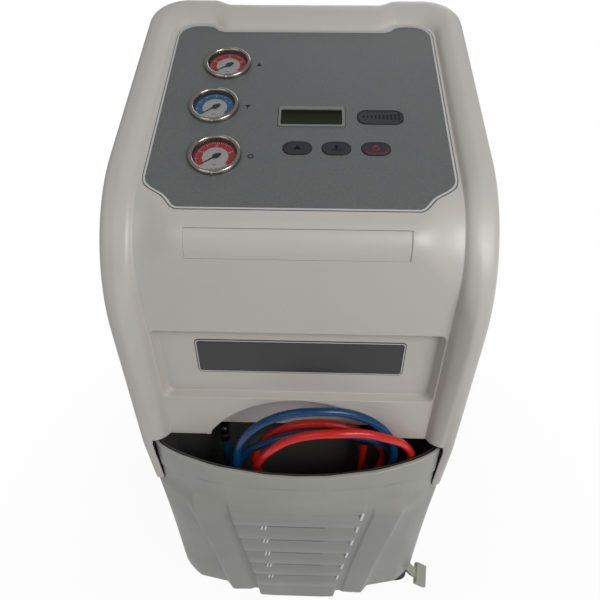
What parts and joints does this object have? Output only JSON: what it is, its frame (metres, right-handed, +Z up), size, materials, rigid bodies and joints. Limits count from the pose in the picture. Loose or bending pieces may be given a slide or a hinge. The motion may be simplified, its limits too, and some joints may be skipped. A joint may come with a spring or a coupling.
{
  "type": "ac service station",
  "caption": "Wheeled service unit for vehicle air conditioning: sloping console with gauges and keys, front pocket holding two coiled hoses, refrigerant tank and pumps inside",
  "frame": {"origin": "on the floor, under the centre of the object's bounding box", "axes": "+X to the right of a person who faces the console, +Y to the rear, +Z up"},
  "size_m": [0.572, 0.564, 1.0912],
  "materials": {
    "shell_plastic": "textured satin, warm light grey",
    "cover_plastic": "textured satin, grey",
    "black_plastic": "matt black",
    "sheet_paint": "powder coat, fine texture",
    "frame_paint": "powder coat, black",
    "overlay_film": "printed film, fine speckle",
    "clear_plastic": "clear, polished",
    "key_plastic": "satin",
    "red_plastic": "gloss",
    "bottle_plastic": "translucent",
    "tank_paint": "gloss paint",
    "alu": "satin",
    "pump_alu": "painted casting",
    "brass": "turned",
    "zinc_steel": "zinc plated",
    "stainless": "polished",
    "dial_plastic": "printed",
    "lens_glass": "clear",
    "hose_rubber_blue": "smooth",
    "hose_rubber_red": "smooth",
    "wheel_rubber": "matt"
  },
  "bodies": {
    "cabinet": {"front_shell": "shell_plastic", "lower_cover": "cover_plastic", "hose_pocket": "black_plastic", "side_panel_left": "sheet_paint", "side_panel_right": "sheet_paint", "rear_panel": "sheet_paint", "base_tray": "frame_paint", "cabinet_frame": "frame_paint", "control_overlay": "overlay_film", "display_module": "black_plastic", "display_window": "clear_plastic", "level_window": "clear_plastic", "control_board": "black_plastic", "rear_axle": "zinc_steel", "push_handle": "frame_paint", "power_inlet": "black_plastic", "bottle_bracket": "sheet_paint", "refrigerant_tank": "tank_paint", "scale_platform": "alu", "compressor": "frame_paint", "vacuum_pump": "pump_alu", "oil_separator": "tank_paint", "filter_drier": "tank_paint", "valve_manifold": "brass", "condenser": "alu", "hose_blue": "hose_rubber_blue", "hose_red": "hose_rubber_red", "coupler_blue": "alu", "coupler_red": "alu", "hose_fitting_blue": "brass", "hose_fitting_red": "brass", "gauge_case_upper": "stainless", "gauge_dial_upper": "dial_plastic", "gauge_lens_upper": "lens_glass", "gauge_case_middle": "stainless", "gauge_dial_middle": "dial_plastic", "gauge_lens_middle": "lens_glass", "gauge_case_lower": "stainless", "gauge_dial_lower": "dial_plastic", "gauge_lens_lower": "lens_glass", "caster_plate_left": "zinc_steel", "caster_plate_right": "zinc_steel"},
    "caster_swivel_left": {"caster_fork_left": "zinc_steel"},
    "caster_wheel_left": {"caster_wheel_left": "wheel_rubber"},
    "caster_brake_left": {"caster_brake_left": "key_plastic"},
    "caster_swivel_right": {"caster_fork_right": "zinc_steel"},
    "caster_wheel_right": {"caster_wheel_right": "wheel_rubber"},
    "caster_brake_right": {"caster_brake_right": "key_plastic"},
    "rear_wheel_left": {"rear_wheel_left": "wheel_rubber"},
    "rear_wheel_right": {"rear_wheel_right": "wheel_rubber"},
    "needle_upper": {"gauge_needle_upper": "black_plastic"},
    "needle_middle": {"gauge_needle_middle": "black_plastic"},
    "needle_lower": {"gauge_needle_lower": "black_plastic"},
    "key_left": {"key_left": "key_plastic"},
    "key_middle": {"key_middle": "key_plastic"},
    "key_right": {"key_right": "key_plastic"},
    "main_switch": {"main_switch": "red_plastic"},
    "fan": {"fan_rotor": "black_plastic"},
    "oil_bottle_1": {"oil_bottle_1": "bottle_plastic"},
    "oil_bottle_2": {"oil_bottle_2": "bottle_plastic"}
  },
  "joints": [
    {"name": "caster_swivel_left", "type": "hinge", "parent": "cabinet", "child": "caster_swivel_left", "pos_m": [-0.18, -0.179, 0.1], "axis": [0, 0, 1], "continuous": true},
    {"name": "caster_roll_left", "type": "hinge", "parent": "caster_swivel_left", "child": "caster_wheel_left", "pos_m": [-0.156, -0.179, 0.0375], "axis": [0, 1, 0], "continuous": true},
    {"name": "caster_brake_left", "type": "hinge", "parent": "caster_swivel_left", "child": "caster_brake_left", "pos_m": [-0.142, -0.179, 0.0775], "axis": [0, 1, 0], "range_deg": [0, 8]},
    {"name": "caster_swivel_right", "type": "hinge", "parent": "cabinet", "child": "caster_swivel_right", "pos_m": [0.18, -0.179, 0.1], "axis": [0, 0, 1], "continuous": true},
    {"name": "caster_roll_right", "type": "hinge", "parent": "caster_swivel_right", "child": "caster_wheel_right", "pos_m": [0.20339, -0.1844, 0.0375], "axis": [0.225, 0.9744, 0], "continuous": true},
    {"name": "caster_brake_right", "type": "hinge", "parent": "caster_swivel_right", "child": "caster_brake_right", "pos_m": [0.21703, -0.18755, 0.0775], "axis": [0.225, 0.9744, 0], "range_deg": [0, 8]},
    {"name": "rear_roll_left", "type": "hinge", "parent": "cabinet", "child": "rear_wheel_left", "pos_m": [-0.269, 0.165, 0.1], "axis": [1, 0, 0], "continuous": true},
    {"name": "rear_roll_right", "type": "hinge", "parent": "cabinet", "child": "rear_wheel_right", "pos_m": [0.269, 0.165, 0.1], "axis": [1, 0, 0], "continuous": true},
    {"name": "needle_upper", "type": "hinge", "parent": "cabinet", "child": "needle_upper", "pos_m": [-0.1131, 0.07428, 1.01747], "axis": [0, -0.4226, 0.9063], "range_deg": [-263, 7], "stiffness_Nm_per_rad": 0.0005},
    {"name": "needle_middle", "type": "hinge", "parent": "cabinet", "child": "needle_middle", "pos_m": [-0.1232, -0.01064, 0.97787], "axis": [0, -0.4226, 0.9063], "range_deg": [-263, 7], "stiffness_Nm_per_rad": 0.0005},
    {"name": "needle_lower", "type": "hinge", "parent": "cabinet", "child": "needle_lower", "pos_m": [-0.1118, -0.0981, 0.93709], "axis": [0, -0.4226, 0.9063], "range_deg": [-263, 7], "stiffness_Nm_per_rad": 0.0005},
    {"name": "key_press_left", "type": "slide", "parent": "cabinet", "child": "key_left", "axis": [0, 0.4226, -0.9063], "range_m": [0, 0.0008], "stiffness_N_per_m": 600, "springref_m": -0.0005},
    {"name": "key_press_middle", "type": "slide", "parent": "cabinet", "child": "key_middle", "axis": [0, 0.4226, -0.9063], "range_m": [0, 0.0008], "stiffness_N_per_m": 600, "springref_m": -0.0005},
    {"name": "key_press_right", "type": "slide", "parent": "cabinet", "child": "key_right", "axis": [0, 0.4226, -0.9063], "range_m": [0, 0.0008], "stiffness_N_per_m": 600, "springref_m": -0.0005},
    {"name": "switch_rock", "type": "hinge", "parent": "cabinet", "child": "main_switch", "pos_m": [0.154, 0.197, 0.246], "axis": [1, 0, 0], "range_deg": [0, 14]},
    {"name": "fan_spin", "type": "hinge", "parent": "cabinet", "child": "fan", "pos_m": [0, 0.101, 0.716], "axis": [0, 1, 0], "continuous": true},
    {"name": "bottle_lift_1", "type": "slide", "parent": "cabinet", "child": "oil_bottle_1", "axis": [0, 0, 1], "range_m": [0, 0.06]},
    {"name": "bottle_lift_2", "type": "slide", "parent": "cabinet", "child": "oil_bottle_2", "axis": [0, 0, 1], "range_m": [0, 0.06]}
  ]
}
